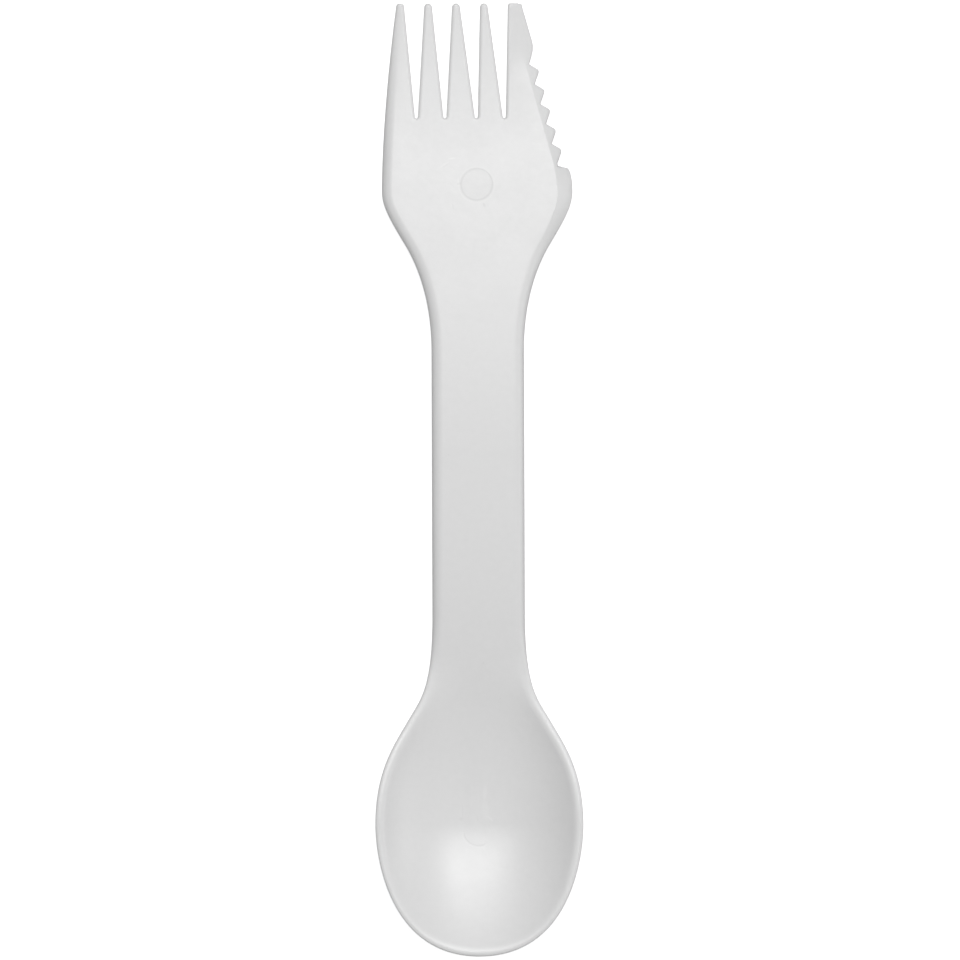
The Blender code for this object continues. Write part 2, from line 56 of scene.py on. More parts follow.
TIP_Y = high.y
TOE_Y = low.y
BOWL_Y = TOE_Y + 0.0235
NECK_Y = TOE_Y + 0.0420
HANDLE_END_Y = TOE_Y + 0.0610
HEAD_HALF = 0.0170
HANDLE_HALF = 0.00825
BOWL_HALF = (high.x - low.x) / 2
NECK_HALF = 0.0127
NECK_SLOPE = math.radians(30.1)
SHOULDER_HALF = 0.0130
SHOULDER_SLOPE = math.radians(31.1)
HEEL_TO_SHOULDER = 0.0095
SHOULDER_TO_HANDLE = 0.0190

# Each stretch of the side is one smooth curve. Its pulls say how straight it leaves its two ends, as
# shares of its length.
BOWL_PULLS = (0.53, 0.25)
NECK_PULLS = (0.23, 0.70)
SHOULDER_PULLS = (0.31, 0.37)
HEEL_PULLS = (0.66, 0.25)
LEFT_PULL_UP = (0.14, 0.51)
LEFT_PULL_IN = 0.82
TOE_PULL_DOWN = 0.28
TOE_PULL_OUT = 0.85
SIDE_POINTS = 120
LEFT_POINTS = 160
TOE_POINTS = 400

# The tines are evenly spaced at their tips. The gaps' roots are a little out of step, and their
# places are in pitches from the middle.
TINE_PITCH = 0.004965
TINE_TIP = 0.0013
GAP_TIP = TINE_PITCH - TINE_TIP
GAP_ROOT = 0.0005
GAP_DEPTH = 0.0205
GAP_ROOT_Y = TIP_Y - GAP_DEPTH
GAP_ROOTS = TINE_PITCH * np.array((-2.175, -1.150, -0.018, 0.987))
FORK_LEFT = -2.876 * TINE_PITCH
CAP_LENGTH = 0.0007
CAP_Y = TIP_Y - CAP_LENGTH

# The blade has a blunt nose, five teeth on a straight slant, and a heel that steps out below them.
# A tooth rises along one flank, has a short flat top and falls to the next valley.
BLADE_TIP = 0.0026
BLADE_WIDTH = 0.0040
TIP_TO_VALLEY = 0.0109
NOSE_BEND = (0.0005, 0.0043)
NOSE_PULL = 0.0013
NOSE_END_PULL = (0.00075, 0.0022)
NOSE_POINTS = 12
HEEL_STEP = 0.00266
HEEL_LENGTH = 0.0048
HEEL_TURNS = ((0.06, 0.09), (0.64, 0.16), (0.86, 0.20), (1.0, 0.55))
HEEL_POINTS = 14
TOOTH_COUNT = 5
TOOTH_PITCH = 0.00369
TOOTH_DEPTH = 0.00141
TOOTH_RISE = 0.00144
TOOTH_FLAT = 0.00026
TOOTH_ROUND = 0.24
TOOTH_POINTS = 7
VALLEY_ROUND = 0.0001
CORNER_POINTS = 5
OUTLINE_STEP = 0.00045
CREASE_EASE = 0.0022
CREASE_STEPS = 7


def bezier(start, start_pull, end_pull, end, count):
    """Points of a cubic curve from start to end, with its two pull points."""
    t = np.linspace(0, 1, count)[:, None]
    weights = np.hstack([(1 - t) ** 3, 3 * t * (1 - t) ** 2, 3 * t * t * (1 - t), t ** 3])
    return weights @ np.array([start, start_pull, end_pull, end])


def eased(value, start, end):
    """0 at start and 1 at end, level at both."""
    t = np.clip((value - start) / (end - start), 0, 1)
    return t * t * (3 - 2 * t)


def gap_sides(index, y):
    """Left and right side of a gap at y. A gap is a straight wedge, and the gaps fan out."""
    share = (y - GAP_ROOT_Y) / GAP_DEPTH
    tip = FORK_LEFT + TINE_TIP + GAP_TIP / 2 + index * TINE_PITCH
    centre = GAP_ROOTS[index] + (tip - GAP_ROOTS[index]) * share
    half = (GAP_ROOT + (GAP_TIP - GAP_ROOT) * np.maximum(share, 0)) / 2
    return centre - half, centre + half


VALLEY_Y = TIP_Y - TIP_TO_VALLEY
VALLEY = np.array((gap_sides(3, VALLEY_Y)[1] + BLADE_WIDTH, VALLEY_Y))
BLADE_ANGLE = math.asin((HEAD_HALF - HEEL_STEP - VALLEY[0]) / (TOOTH_COUNT * TOOTH_PITCH))
ALONG = np.array((math.sin(BLADE_ANGLE), -math.cos(BLADE_ANGLE)))
OUT = np.array((math.cos(BLADE_ANGLE), math.sin(BLADE_ANGLE)))
LAST_VALLEY = VALLEY + TOOTH_COUNT * TOOTH_PITCH * ALONG
HEEL_Y = LAST_VALLEY[1] - HEEL_LENGTH
SHOULDER_Y = HEEL_Y - HEEL_TO_SHOULDER
HANDLE_TOP_Y = SHOULDER_Y - SHOULDER_TO_HANDLE


def side_line():
    """Half width and y of the side, from the bowl's widest line up to the blade's heel."""
    neck = np.array((NECK_HALF, NECK_Y))
    neck_way = np.array((-math.sin(NECK_SLOPE), math.cos(NECK_SLOPE)))
    shoulder = np.array((SHOULDER_HALF, SHOULDER_Y))
    shoulder_way = np.array((math.sin(SHOULDER_SLOPE), math.cos(SHOULDER_SLOPE)))
    bowl = np.array((BOWL_HALF, BOWL_Y))
    handle_end = np.array((HANDLE_HALF, HANDLE_END_Y))
    handle_top = np.array((HANDLE_HALF, HANDLE_TOP_Y))
    heel = np.array((HEAD_HALF, HEEL_Y))
    up = np.array((0.0, 1.0))
    bowl_run = NECK_Y - BOWL_Y
    neck_run = HANDLE_END_Y - NECK_Y
    shoulder_run = SHOULDER_Y - HANDLE_TOP_Y
    heel_run = HEEL_Y - SHOULDER_Y
    return np.vstack((
        bezier(bowl, bowl + BOWL_PULLS[0] * bowl_run * up,
               neck - BOWL_PULLS[1] * bowl_run * neck_way, neck, SIDE_POINTS),
        bezier(neck, neck + NECK_PULLS[0] * neck_run * neck_way,
               handle_end - NECK_PULLS[1] * neck_run * up, handle_end, SIDE_POINTS),
        bezier(handle_top, handle_top + SHOULDER_PULLS[0] * shoulder_run * up,
               shoulder - SHOULDER_PULLS[1] * shoulder_run * shoulder_way, shoulder, SIDE_POINTS),
        bezier(shoulder, shoulder + HEEL_PULLS[0] * heel_run * shoulder_way,
               heel - HEEL_PULLS[1] * heel_run * up, heel, SIDE_POINTS),
    ))


SIDE = side_line()
LEFT_RUN = TIP_Y - HEEL_Y
LEFT = bezier((-HEAD_HALF, HEEL_Y), (-HEAD_HALF, HEEL_Y + LEFT_PULL_UP[0] * LEFT_RUN),
              (FORK_LEFT - LEFT_PULL_IN * (HEAD_HALF + FORK_LEFT), HEEL_Y + LEFT_PULL_UP[1] * LEFT_RUN),
              (FORK_LEFT, TIP_Y), LEFT_POINTS)
TOE = bezier((BOWL_HALF, BOWL_Y), (BOWL_HALF, BOWL_Y - TOE_PULL_DOWN * (BOWL_Y - TOE_Y)),
             (TOE_PULL_OUT * BOWL_HALF, TOE_Y), (0, TOE_Y), TOE_POINTS)
TOE_ANGLES = np.arctan2(BOWL_Y - TOE[:, 1], TOE[:, 0])
TOE_RADII = np.hypot(TOE[:, 0], TOE[:, 1] - BOWL_Y)
TOE_CHANGES = np.gradient(TOE_RADII, TOE_ANGLES)


def half_width(y):
    """Half width of the handle, neck, shoulders and upper bowl at y."""
    return np.interp(y, SIDE[:, 1], SIDE[:, 0])


def left_edge(y):
    """Place of the left edge at y, anywhere above the bowl's widest line."""
    return np.where(y <= HEEL_Y, -half_width(y), np.interp(y, LEFT[:, 1], LEFT[:, 0]))


def tooth_line(y):
    """Smooth outer line of the blade, along the tips of its teeth."""
    tip = VALLEY + TOOTH_DEPTH * OUT
    return np.minimum(tip[0] - (y - tip[1]) * math.tan(BLADE_ANGLE), HEAD_HALF)


def right_line(y):
    """Right edge without its teeth, anywhere above the bowl's widest line."""
    return np.where(y <= HEEL_Y, half_width(y), tooth_line(y))


def crease_line(y):
    """The right line eased round the heel, which the inner edge of the bevel keeps parallel to."""
    steps = np.linspace(-CREASE_EASE, CREASE_EASE, CREASE_STEPS)
    return sum(right_line(y + step) for step in steps) / len(steps)


def rounded(line, cuts):
    """A line with its corners rounded: each cut is the length taken off both sides of a corner."""
    points = [line[0]]
    for before, corner, after, cut in zip(line, line[1:], line[2:], cuts):
        if cut == 0:
            points.append(corner)
            continue
        start = corner + (before - corner) / np.linalg.norm(before - corner) * cut
        end = corner + (after - corner) / np.linalg.norm(after - corner) * cut
        pulls = (start + 2 * corner) / 3, (end + 2 * corner) / 3
        points += list(bezier(start, *pulls, end, CORNER_POINTS))
    return points + [line[-1]]


def divided(line, step):
    """A line with points added where two lie further apart than a step."""
    points = []
    for start, end in zip(line, line[1:]):
        count = math.ceil(np.linalg.norm(end - start) / step)
        points += [start + (end - start) * k / count for k in range(count)]
    return np.array(points + [line[-1]])


def blade_line():
    """Edge of the blade from its blunt tip, over the teeth, to the widest point of its heel."""
    tip = np.array((gap_sides(3, CAP_Y)[1] + BLADE_TIP, CAP_Y))
    bend = VALLEY + NOSE_BEND
    way = (bend - tip) / np.linalg.norm(bend - tip)
    nose = bezier(bend, bend + NOSE_PULL * way, VALLEY + NOSE_END_PULL, VALLEY, NOSE_POINTS)
    line = [tip] + list(nose)
    cuts = [0] * (len(nose) - 1) + [VALLEY_ROUND]
    for index in range(TOOTH_COUNT):
        valley = VALLEY + index * TOOTH_PITCH * ALONG
        front = valley + TOOTH_RISE * ALONG + TOOTH_DEPTH * OUT
        back = front + TOOTH_FLAT * ALONG
        after = valley + TOOTH_PITCH * ALONG
        start = front + (valley - front) * TOOTH_ROUND
        end = back + (after - back) * TOOTH_ROUND
        line += list(bezier(start, front, back, end, TOOTH_POINTS)) + [after]
        cuts += [0] * TOOTH_POINTS + [VALLEY_ROUND]
    size = np.array((HEEL_STEP, -HEEL_LENGTH))
    foot, corner, turn, side = (LAST_VALLEY + size * share for share in HEEL_TURNS)
    heel = bezier(corner, turn, side, LAST_VALLEY + size, HEEL_POINTS)
    line += [foot] + list(heel)
    cuts += [VALLEY_ROUND] + [0] * (len(heel) - 1)
    return divided(rounded(line, cuts), OUTLINE_STEP)


BLADE = blade_line()
BLADE_TURNS = np.gradient(BLADE, axis=0)
BLADE_NORMALS = np.column_stack((-BLADE_TURNS[:, 1], BLADE_TURNS[:, 0]))
BLADE_NORMALS /= np.linalg.norm(BLADE_NORMALS, axis=1)[:, None]


# Flat blank of the whole utensil: a grid whose rows run across and whose lines follow the outline, so
# that it can be pushed to shape like warm sheet. The gaps are cut out of it. Lines crowd towards every
# edge, where the rounding needs them.

# How far the lines beside an edge lie from it, and how wide the sloping strips are.
FILLET_INSETS = np.array((0, 0.00003, 0.00012, 0.0003, 0.00055, 0.00095, 0.00145, 0.0019))
EDGE_INSETS = np.array((0, 0.00004, 0.00015, 0.00035, 0.0006))
BEVEL_WIDTH = 0.00205
HEEL_BEVEL_WIDTH = 0.0025
FILLET_WIDTH = 0.00178
CREASE = 0.00012

# Where the fillet of the shoulder turns into the bevel, and where the bevel is widest.
BEVEL_START_Y = SHOULDER_Y - 0.0074
BEVEL_END_Y = HEEL_Y - 0.0034
WIDENING_START_Y = SHOULDER_Y - 0.0005
WIDENING_END_Y = HEEL_Y + 0.0015
NARROWING_END_Y = HEEL_Y + 0.0050

# Lines across. Those beside a tine's side close up where it is too narrow for them.
TINE_SIDE_ROOM = 0.45
BLADE_SIDE_ROOM = 0.9
GAP_LINES = 3
TINE_LINES = 2 * len(EDGE_INSETS) + 1
OUTER_LINES = len(FILLET_INSETS) + 1 + len(EDGE_INSETS)
LINES = 2 * OUTER_LINES + 3 * TINE_LINES + 4 * GAP_LINES

# Rows: over the tines' round ends, down the blade's points, round the gaps' roots and on to the toe.
CAP_LEVELS = (1, 0.96, 0.88, 0.76, 0.6, 0.4, 0.2)
CAP_POWERS = (2.6, 2.1, 2.1, 2.1)
NOSE_ROUND = 0.0005
ROOT_CURVE_RISE = 0.00027
ROW_CLEARANCE = 0.00003
SAME_POINT = 0.000001
ROOT_STEPS = (0.00005, 0.00013, 0.00025, 0.00045, 0.0008, 0.0012)
ROOT_FADE = 0.0016
HEAD_STEP = 0.0005
HANDLE_STEP = 0.0008
BOWL_STEP = 0.0005
TOE_ROWS = 44


def across(edge, y):
    """Cosine of an edge's slope, which turns a width across into a distance from the edge."""
    reach = 0.0002
    return 1 / np.hypot(1, (edge(y + reach) - edge(y - reach)) / (2 * reach))


def bevelled(y):
    """How far the fillet of the right edge has turned into the blade's bevel."""
    return eased(y, BEVEL_START_Y, BEVEL_END_Y)


def right_width(y):
    """Width of the sloping strip beside the right edge: the fillet, or the blade's bevel."""
    widening = (HEEL_BEVEL_WIDTH - FILLET_WIDTH) * eased(y, WIDENING_START_Y, WIDENING_END_Y)
    narrowing = (BEVEL_WIDTH - HEEL_BEVEL_WIDTH) * eased(y, HEEL_Y, NARROWING_END_Y)
    return FILLET_WIDTH + widening + narrowing


def tine(left, right, left_insets, right_insets):
    """Lines of a tine: close to both of its sides, with one between."""
    room = TINE_SIDE_ROOM * (right - left)
    near = left + left_insets * min(1, room / left_insets[-1])
    far = right - right_insets[::-1] * min(1, room / right_insets[-1])
    return np.concatenate((near, [(near[-1] + far[0]) / 2], far))


def right_band(y):
    """Points of the lines beside the right edge, from the outside in."""
    if y > HEEL_Y:
        edge = np.array([np.interp(-y, -BLADE[:, 1], BLADE[:, k]) for k in (0, 1)])
        normal = np.array([np.interp(-y, -BLADE[:, 1], BLADE_NORMALS[:, k]) for k in (0, 1)])
    else:
        edge = np.array((half_width(y), y))
        normal = np.array((1.0, 0.0))
    fillet = edge[0] - FILLET_INSETS / across(half_width, min(y, HEEL_Y))
    widths = right_width(y) + CREASE * np.array((-1, 0, 1))
    crease = crease_line(y) - widths / across(crease_line, y)
    bevel = np.concatenate((edge[0] - EDGE_INSETS, crease))
    bevel[3:5] = bevel[2] + (bevel[5] - bevel[2]) * np.array((1, 2)) / 3
    band = np.column_stack((fillet + (bevel - fillet) * bevelled(y), np.full(len(bevel), y)))
    band[1:3] += EDGE_INSETS[1:3, None] * ((1, 0) - normal) * bevelled(y)
    return band


def fork_row(y):
    """Points of a row across the fork: five tines, with open gaps between them."""
    sides = [gap_sides(index, y) for index in range(4)]
    band = right_band(y)
    inner = sides[3][1]
    near = inner + EDGE_INSETS * min(1, BLADE_SIDE_ROOM * (band[-1, 0] - inner) / EDGE_INSETS[-1])
    lines = list(tine(left_edge(y), sides[0][0], FILLET_INSETS, EDGE_INSETS))
    for index in range(3):
        lines += list(np.linspace(*sides[index], GAP_LINES + 2)[1:-1])
        lines += list(tine(sides[index][1], sides[index + 1][0], EDGE_INSETS, EDGE_INSETS))
    lines += list(np.linspace(*sides[3], GAP_LINES + 2)[1:-1]) + list(near)
    lines.append((near[-1] + band[-1, 0]) / 2)
    row = np.column_stack((lines, np.full(len(lines), y)))
    return np.vstack((row, band[::-1]))


def plain_row(y):
    """Points of a row across at y with no gaps: close to the edges, even between them."""
    band = right_band(y)
    near = left_edge(y) + FILLET_INSETS / across(left_edge, y)
    inside = np.linspace(near[-1], band[-1, 0], LINES - 2 * len(FILLET_INSETS) + 2)[1:-1]
    lines = np.concatenate((near, inside))
    return np.vstack((np.column_stack((lines, np.full(len(lines), y))), band[::-1]))


def head_row(y):
    """Points of a row below the gaps, where the fork's lines ease into even ones."""
    row = plain_row(y)
    inner = slice(len(FILLET_INSETS) - 1, LINES - len(FILLET_INSETS) + 1)
    root = ROOT_ROW[inner, 0]
    even = row[inner, 0]
    fork = even[0] + (root - root[0]) * (even[-1] - even[0]) / (root[-1] - root[0])
    row[inner, 0] = fork + (even - fork) * eased(-y, -ROOT_TOP, -HANDLE_TOP_Y)
    return row


def cap_rows():
    """Rows over the tines' rounded ends, which are nearly half round, and blunt on the blade."""
    base = fork_row(CAP_Y)
    heights = np.zeros(LINES)
    first = 0
    for count, power in zip((OUTER_LINES, TINE_LINES, TINE_LINES, TINE_LINES), CAP_POWERS):
        tine_x = base[first:first + count, 0]
        share = np.clip(np.abs(2 * (tine_x - tine_x[0]) / (tine_x[-1] - tine_x[0]) - 1), 0, 1)
        heights[first:first + count] = CAP_LENGTH * (1 - share ** power) ** (1 / power)
        first += count + GAP_LINES
    nose_x = base[first:, 0]
    inset = np.minimum(nose_x - nose_x[0], nose_x[-1] - nose_x)
    corner = np.clip(NOSE_ROUND - inset, 0, NOSE_ROUND)
    heights[first:] = CAP_LENGTH - NOSE_ROUND + np.sqrt(NOSE_ROUND ** 2 - corner ** 2)
    return [np.column_stack((base[:, 0], base[:, 1] + level * heights)) for level in CAP_LEVELS]


def dipped(row, fade):
    """A row near the gaps' roots, where its points inside each gap follow the round bottom."""
    row = row.copy()
    first = OUTER_LINES
    for index in range(4):
        half = (row[first + GAP_LINES, 0] - row[first - 1, 0]) / 2
        centre = row[first - 1, 0] + half
        for line in range(GAP_LINES):
            angle = math.pi * (line + 1) / (GAP_LINES + 1)
            row[first + line, 0] = centre - half * math.cos(angle)
            row[first + line, 1] -= ROOT_RADIUS * math.sin(angle) * fade
        first += GAP_LINES + TINE_LINES
    return row


def spread(start, end, step):
    """Evenly spaced values from start up to but not including end, about a step apart."""
    count = max(1, round(abs(end - start) / step))
    return [start + (end - start) * k / count for k in range(count)]


def toe_rows(first):
    """Rows that swing about the bowl's middle, from its widest line to the spoon's tip."""
    rows = []
    for step in range(1, TOE_ROWS + 1):
        angle = step / TOE_ROWS * math.pi / 2
        reach = first[:, 0] / BOWL_HALF * np.interp(angle, TOE_ANGLES, TOE_RADII)
        drop = np.abs(reach) * math.sin(angle)
        rows.append(np.column_stack((reach * math.cos(angle), BOWL_Y - drop)))
    return rows


root_sides = gap_sides(0, GAP_ROOT_Y + ROOT_CURVE_RISE)
ROOT_RADIUS = (root_sides[1] - root_sides[0]) / 2
ROOT_TOP = GAP_ROOT_Y + ROOT_RADIUS
ROOT_ROW = fork_row(ROOT_TOP)
root_places = [ROOT_TOP - step for step in ROOT_STEPS]
blade_places = [y for y in BLADE[:-1, 1]
                if min(abs(y - place) for place in [ROOT_TOP] + root_places) > ROW_CLEARANCE]
fork_places = [y for y in blade_places if y > ROOT_TOP]
head_places = sorted(root_places + [y for y in blade_places if y < ROOT_TOP], reverse=True)
head_places += spread(HEEL_Y, HANDLE_TOP_Y, HEAD_STEP)
handle_places = spread(HANDLE_TOP_Y, HANDLE_END_Y, HANDLE_STEP)
bowl_places = spread(HANDLE_END_Y, BOWL_Y, BOWL_STEP) + [BOWL_Y]
rows = cap_rows() + [fork_row(y) for y in fork_places] + [dipped(ROOT_ROW, 1)]
gap_rows = len(rows) - 1
rows += [dipped(head_row(y), max(0, 1 - (ROOT_TOP - y) / ROOT_FADE)) for y in head_places]
rows += [plain_row(y) for y in handle_places + bowl_places]
rows += toe_rows(rows[-1])
blank = np.array(rows)

bpy.ops.object.select_all(action='DESELECT')
bpy.ops.mesh.primitive_grid_add(x_subdivisions=LINES - 1, y_subdivisions=len(rows) - 1, size=1)
utensil = bpy.context.object
utensil.name = "utensil"
flat = np.zeros((len(rows), LINES, 3))
flat[:, :, :2] = blank[::-1]
utensil.data.vertices.foreach_set("co", flat.ravel())


def select_faces(piece, wanted):
    """Selects the faces whose middle passes a test, and enters edit mode on the piece."""
    bpy.ops.object.mode_set(mode='EDIT')
    bpy.ops.mesh.select_mode(type='FACE')
    bpy.ops.mesh.select_all(action='DESELECT')
    bpy.ops.object.mode_set(mode='OBJECT')
    for face in piece.data.polygons:
        face.select = wanted(face)
    bpy.ops.object.mode_set(mode='EDIT')


def in_gap(face):
    """Whether a face of the grid lies in one of the four open gaps."""
    row, line = divmod(face.index, LINES - 1)
    first = len(rows) - 1 - gap_rows
    place = (line - OUTER_LINES + 1) % (TINE_LINES + GAP_LINES)
    return row >= first and OUTER_LINES - 1 <= line < LINES - OUTER_LINES and place <= GAP_LINES


select_faces(utensil, in_gap)
bpy.ops.mesh.delete(type='FACE')
bpy.ops.mesh.select_all(action='SELECT')
bpy.ops.mesh.remove_doubles(threshold=SAME_POINT)


# Ejector pins, which push the moulding off the mould, leave a ring on the head and part of one in the
# bowl. The faces there get finer, so that the rings' faint lines can be pressed into them.

HEAD_PIN = (-0.00011, 0.0526)
HEAD_PIN_RADIUS = 0.00281
BOWL_PIN = (-0.00017, -0.06266)
BOWL_PIN_RADIUS = 0.00268
PIN_LINE = 0.00012
PIN_DEPTH = 0.000007
PIN_CUTS = 6
PIN_REACH = 5 * PIN_LINE
ARC_LEAN = 0.5
ARC_FADE = 0.8 * BOWL_PIN_RADIUS
SHEET = 0.002
LEVEL = 0.5


def near_pin(face):
    """Whether a face of the upper side lies where an ejector pin left its mark."""
    for centre, radius in ((HEAD_PIN, HEAD_PIN_RADIUS), (BOWL_PIN, BOWL_PIN_RADIUS)):
        distance = math.dist(face.center[:2], centre)
        if abs(distance - radius) < PIN_REACH and face.normal.z > LEVEL:
            return True
    return False


bpy.ops.mesh.select_all(action='SELECT')
bpy.ops.mesh.extrude_region_move(TRANSFORM_OT_translate={"value": (0, 0, -SHEET)})
bpy.ops.mesh.select_all(action='SELECT')
bpy.ops.mesh.normals_make_consistent(inside=False)
select_faces(utensil, near_pin)
bpy.ops.mesh.subdivide(number_cuts=PIN_CUTS)
bpy.ops.object.mode_set(mode='OBJECT')
plate = [vert.co.copy() for vert in utensil.data.vertices]
upright = [face.vertices[:] for face in utensil.data.polygons if abs(face.normal.z) < LEVEL]
walls = BVHTree.FromPolygons(plate, upright)

# The wall gets one line round its middle.
bpy.ops.object.mode_set(mode='EDIT')
bpy.ops.mesh.select_mode(type='EDGE')
bpy.ops.mesh.select_all(action='DESELECT')
bpy.ops.object.mode_set(mode='OBJECT')
for edge in utensil.data.edges:
    ends = [utensil.data.vertices[index].co.z for index in edge.vertices]
    edge.select = abs(ends[0] - ends[1]) > SHEET / 2
bpy.ops.object.mode_set(mode='EDIT')
bpy.ops.mesh.subdivide(number_cuts=1)
bpy.ops.object.mode_set(mode='OBJECT')


# Forming: the blank takes the heights of the mould's two halves. The handle arches, the head falls
# to the tips and levels out there, and the bowl is dished inside a narrow flat rim.

# Thicknesses: the handle is the stiff part, and the bowl and the fork thin out from it.
HANDLE_THICKNESS = 0.0026
BOWL_THICKNESS = 0.0014
RIM_THICKNESS = 0.0010
GAP_ROOT_THICKNESS = 0.0018
TIP_THICKNESS = 0.0013

# Side view of the upper face along the middle: place, height and slope, from the bowl's deepest
# point to the tips.
ARCH_Y = 0.004
ARCH_HEIGHT = 0.0061
DIP_Y = NECK_Y + 0.0045
DIP_HEIGHT = 0.0034
HEEL_HEIGHT = 0.0034
GAP_ROOT_HEIGHT = 0.0022
MIDDLE = (
    (BOWL_Y, BOWL_THICKNESS, 0.0),
    (DIP_Y, DIP_HEIGHT, math.tan(math.radians(10.0))),
    (ARCH_Y, ARCH_HEIGHT, 0.0),
    (HEEL_Y, HEEL_HEIGHT, -math.tan(math.radians(5.2))),
    (GAP_ROOT_Y, GAP_ROOT_HEIGHT, -math.tan(math.radians(4.5))),
    (TIP_Y, TIP_THICKNESS, -math.tan(math.radians(0.5))),
)

# The bowl: its depth below the rim, how full its curve is across and towards its tip, the extra
# steepness of its wall, and the flat land of its rim, which narrows to the tip.
BOWL_DEPTH = 0.0053
BOWL_FULLNESS = 2.7
BOWL_END_FULLNESS = 1.66
BOWL_WALL = 0.06
BOWL_WALL_POWER = 8
HOLLOW_END_Y = TOE_Y + 0.0540
TOE_LIFT = 0.0005
TOE_SLOPE = math.tan(math.radians(1.5))
RIM_LAND = 0.0012
TOE_LAND = 0.0009
RIM_BLEND = 0.00012
REST_FLAT_DEPTH = 0.00008

# Above the bowl the hollow runs out to next to nothing, where the face counts as level.
NO_DEPTH = 1e-9
LEVEL_BELOW = 1e-7

# The edges: wide fillets along the handle, which fade out up the left tine and turn into the bevel
# of the blade on the right, and small rounds everywhere else.
FILLET_DROP = 0.00143
FILLET_START_Y = NECK_Y + 0.0060
LEFT_FADE_START_Y = TIP_Y - 0.0270
LEFT_FADE_LENGTH = 0.0300
RIM_ROUND = 0.0004
HANDLE_ROUND = 0.0005
TINE_ROUND = 0.0004
TINE_EDGE_SLOPE = 1.35
TOOTH_EDGE = 0.0003
TOOTH_EDGE_SLOPE = 1.9
UNDERSIDE_ROUND = 0.00025
TOOTH_UNDERSIDE_ROUND = 0.0002
BACK_START_Y = BOWL_Y + 0.0120

# The blade: blunter at its heel, with its nose one plane that leans down to the cutting side and
# turns about a line near its inner edge.
BLADE_EDGE_THICKNESS = 0.0008
HEEL_BLUNTNESS = 0.0005
BLUNT_START_Y = HEEL_Y + 0.0060
SHOULDER_SOFTNESS = 3
SHOULDER_SOFT_Y = HEEL_Y - 0.0030
NOSE_SLOPE = 0.18
NOSE_PIVOT = 0.0018
NOSE_START_Y = VALLEY_Y - 0.0038
NOSE_END_Y = VALLEY_Y + 0.0048
NOSE_SOFTNESS = 6
NOSE_SOFT_START_Y = VALLEY_Y - 0.0060
NOSE_SOFT_END_Y = VALLEY_Y + 0.0030


def through(y, stations):
    """Height at y of the smooth curve through stations of place, height and slope."""
    places, heights, slopes = np.array(stations).T
    y = np.clip(y, places[0], places[-1])
    k = np.clip(np.searchsorted(places, y) - 1, 0, len(places) - 2)
    span = places[k + 1] - places[k]
    t = (y - places[k]) / span
    return ((1 + 2 * t) * (1 - t) ** 2 * heights[k] + t * (1 - t) ** 2 * span * slopes[k]
            + t * t * (3 - 2 * t) * heights[k + 1] - t * t * (1 - t) * span * slopes[k + 1])


hollow_end = through(HOLLOW_END_Y, MIDDLE)
slope_reach = 0.0001
hollow_end_slope = (through(HOLLOW_END_Y + slope_reach, MIDDLE) - hollow_end) / slope_reach
RIM = (
    (TOE_Y, BOWL_THICKNESS + BOWL_DEPTH + TOE_LIFT, TOE_SLOPE),
    (BOWL_Y, BOWL_THICKNESS + BOWL_DEPTH, 0.0),
    (HOLLOW_END_Y, hollow_end, hollow_end_slope),
)


def rim_height(y):
    """Height of the bowl's rim, which runs into the upper face at the neck."""
    return np.where(y < HOLLOW_END_Y, through(y, RIM), through(y, MIDDLE))


def dished(x, y, depth, land):
    """Depth at a point of a bowl of the given middle depth, with a smooth shoulder at its rim."""
    angle = np.arctan2(BOWL_Y - y, np.abs(x))
    radius = np.interp(angle, TOE_ANGLES, TOE_RADII)
    tilt = np.hypot(1, np.interp(angle, TOE_ANGLES, TOE_CHANGES) / radius)
    above = np.abs(x) / (half_width(y) - land / across(half_width, np.maximum(y, BOWL_Y)))
    below = np.hypot(x, y - BOWL_Y) / (radius - land * tilt)
    share = np.clip(np.where(y >= BOWL_Y, above, below), 0, 1)
    turn = np.where(y < BOWL_Y, np.sin(angle) ** 2, 0)
    curve = share ** BOWL_FULLNESS + turn * (share ** BOWL_END_FULLNESS - share ** BOWL_FULLNESS)
    drop = depth * (1 - curve - BOWL_WALL * (share ** BOWL_WALL_POWER - curve))
    softened = np.hypot(drop, RIM_BLEND) - RIM_BLEND
    deepest = np.hypot(depth, RIM_BLEND) - RIM_BLEND
    return np.where(depth > LEVEL_BELOW, softened * depth / deepest, 0)


def hollow_depth(y):
    """Depth of the bowl below its rim, along the middle."""
    y = np.maximum(y, BOWL_Y)
    return np.maximum(rim_height(y) - through(y, MIDDLE), NO_DEPTH)


def thickness(y):
    """Thickness of the moulding along the middle."""
    bowl = BOWL_THICKNESS + (HANDLE_THICKNESS - BOWL_THICKNESS) * eased(y, NECK_Y, HANDLE_END_Y)
    head = (GAP_ROOT_THICKNESS - HANDLE_THICKNESS) * eased(y, HEEL_Y, GAP_ROOT_Y)
    fork = (TIP_THICKNESS - GAP_ROOT_THICKNESS) * np.clip((y - GAP_ROOT_Y) / GAP_DEPTH, 0, 1)
    return bowl + head + fork


def strip(distance, width, drop, flat, softness):
    """Drop of a strip beside an edge: a quarter round at flat 0, a plane bevel at 1."""
    reach = 1 - distance / width
    reach = (reach + np.hypot(reach, 0.5 * softness / width)) / 2
    rounding = 1 - np.sqrt(1 - np.clip(reach, 0, 1) ** 2)
    return drop * ((1 - flat) * rounding + flat * reach)


def edge_round(distance, radius):
    """Drop of the small round at the very edge."""
    left = np.clip(radius - distance, 0, radius)
    return radius - np.sqrt(radius * radius - left * left)


def worn_edge(distance, width, slope):
    """Drop of the wider and flatter round along the tines and teeth, which starts at a slope."""
    left = np.clip(1 - distance / width, 0, 1)
    return slope * width * left * left / 2


